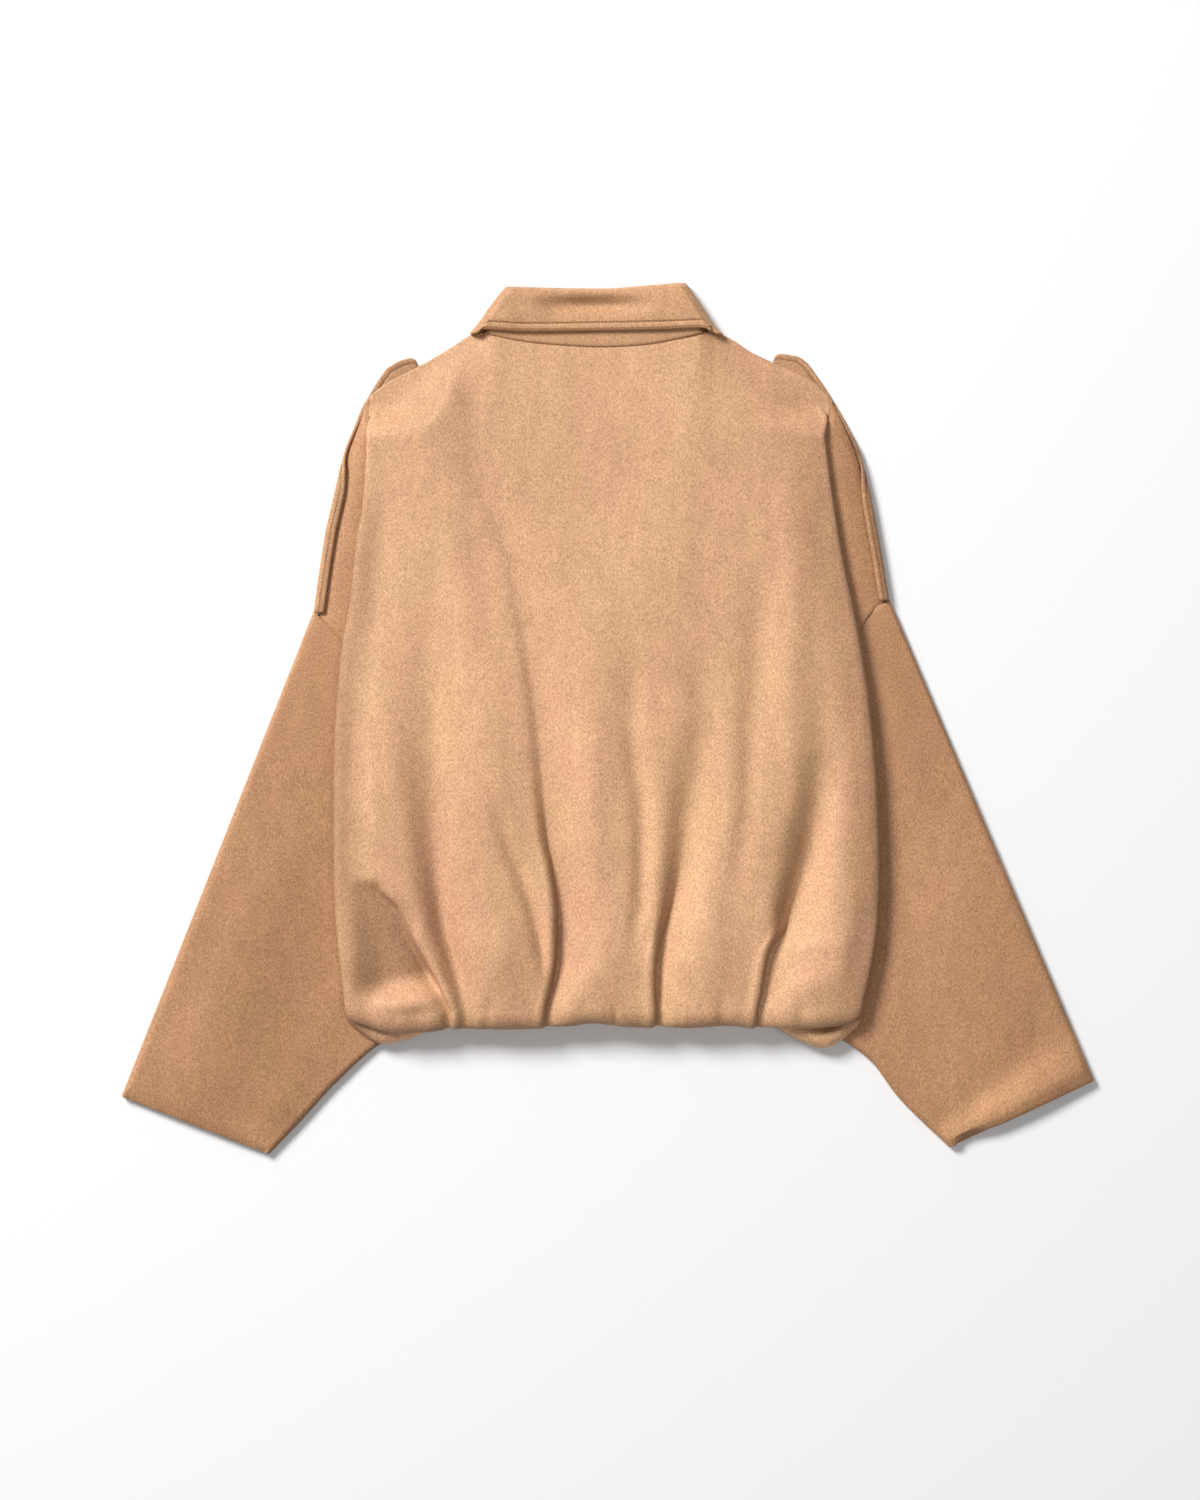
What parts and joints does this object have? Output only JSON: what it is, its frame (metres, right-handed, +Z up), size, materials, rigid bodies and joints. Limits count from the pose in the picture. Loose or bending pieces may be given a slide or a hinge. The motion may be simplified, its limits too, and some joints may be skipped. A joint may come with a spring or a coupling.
{
  "type": "suede jacket",
  "caption": "Cropped wide suede jacket laid flat on its front, with a shirt collar, shoulder straps, wide sleeves and a gathered bubble hem.",
  "frame": {"origin": "on the surface that the jacket lies on, under the middle of its whole outline", "axes": "+X from the left sleeve's cuff to the right sleeve's cuff as seen from above the back, +Y from the hem to the collar, +Z up off the surface, out of the back panel"},
  "size_m": [0.908, 0.8124, 0.0401],
  "materials": {
    "suede": "soft napped tan suede, matte with a faint sheen"
  },
  "bodies": {
    "root": {"back": "suede", "front_left": "suede", "front_right": "suede", "sleeve_left": "suede", "sleeve_right": "suede", "epaulette_left": "suede", "epaulette_right": "suede", "collar_leaf": "suede", "collar_stand": "suede"}
  },
  "joints": []
}
